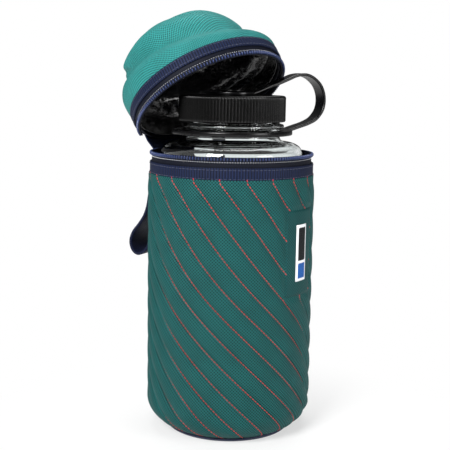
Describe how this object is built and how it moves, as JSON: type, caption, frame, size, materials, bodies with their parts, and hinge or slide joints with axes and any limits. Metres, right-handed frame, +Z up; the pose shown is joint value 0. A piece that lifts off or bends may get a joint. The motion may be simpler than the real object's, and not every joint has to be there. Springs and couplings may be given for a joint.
{
  "type": "insulated bottle sleeve with bottle",
  "caption": "Padded zip-up bottle sleeve with a hinged domed lid, quilted wall and webbing loop, holding a clear wide-mouth bottle with a tethered screw cap.",
  "frame": {"origin": "centre of the base panel's underside, where the sleeve stands", "axes": "+Z up along the bottle, -Y to the front, the lid's hinge towards -X +Y"},
  "size_m": [0.1288, 0.1193, 0.2656],
  "materials": {
    "quilted_fabric": "woven, quilted, red stitching",
    "lid_fabric": "woven",
    "navy_webbing": "woven",
    "zip_tape": "woven",
    "zip_coil": "moulded",
    "foam": "soft foam",
    "foil": "crinkled metallised film",
    "base_fabric": "woven",
    "piping": "woven",
    "label": "woven, plain",
    "label_patch": "woven",
    "slider_metal": "painted",
    "bottle_clear": "clear, moulded",
    "cap_black": "moulded, ribbed",
    "tether_black": "moulded"
  },
  "bodies": {
    "sleeve": {"outer_shell": "quilted_fabric", "sleeve_foam": "foam", "foil_liner": "foil", "base_panel": "base_fabric", "base_foam": "foam", "base_piping": "piping", "top_band": "navy_webbing", "rim_binding": "zip_tape", "lower_zip_tape": "zip_tape", "lower_zip_coil": "zip_coil", "zip_end_stops": "zip_coil", "back_panel": "navy_webbing", "handle_strap": "navy_webbing", "handle_tacks": "navy_webbing", "label_patch": "label_patch", "woven_label": "label"},
    "hinge_flap": {"hinge_panel": "navy_webbing"},
    "lid": {"lid_shell": "lid_fabric", "lid_foam": "foam", "lid_liner": "foil", "lid_band": "navy_webbing", "lid_binding": "zip_tape", "upper_zip_tape": "zip_tape", "upper_zip_coil": "zip_coil"},
    "slider": {"slider_body": "slider_metal"},
    "puller": {"zip_puller": "slider_metal"},
    "bottle": {"bottle": "bottle_clear"},
    "tether": {"tether_ring": "tether_black", "tether_strap": "tether_black", "tether_hub": "tether_black"},
    "cap": {"cap": "cap_black"}
  },
  "joints": [
    {"name": "lid_close", "type": "hinge", "parent": "sleeve", "child": "hinge_flap", "pos_m": [-0.03847, 0.03847, 0.1632], "axis": [-0.7071, -0.7071, 0], "range_deg": [-36, 0], "deforming": ["tether_strap"]},
    {"name": "lid_fold_back", "type": "hinge", "parent": "hinge_flap", "child": "lid", "pos_m": [-0.04711, 0.04711, 0.18003], "axis": [-0.7071, -0.7071, 0], "range_deg": [0, 130]},
    {"name": "bottle_lift", "type": "slide", "parent": "sleeve", "child": "bottle", "axis": [0, 0, 1], "range_m": [0, 0.172]},
    {"name": "cap_lift", "type": "slide", "parent": "bottle", "child": "tether", "axis": [0, 0, 1], "range_m": [0, 0.0075]},
    {"name": "cap_turn", "type": "hinge", "parent": "tether", "child": "cap", "pos_m": [0, 0, 0.21], "axis": [0, 0, 1], "range_deg": [0, 540]},
    {"name": "slider_travel", "type": "hinge", "parent": "sleeve", "child": "slider", "pos_m": [0, 0, 0.176], "axis": [0, 0, 1], "range_deg": [-291.5, 0]},
    {"name": "puller_swing", "type": "hinge", "parent": "slider", "child": "puller", "pos_m": [-0.01011, 0.05294, 0.176], "axis": [0.9822, 0.1876, 0], "range_deg": [0, 110]}
  ],
  "couplings": [
    {"joint": "lid_fold_back", "follows": "bottle_lift", "rad_per_m": 13.19},
    {"joint": "cap_lift", "follows": "cap_turn", "m_per_rad": 0.00079577}
  ]
}
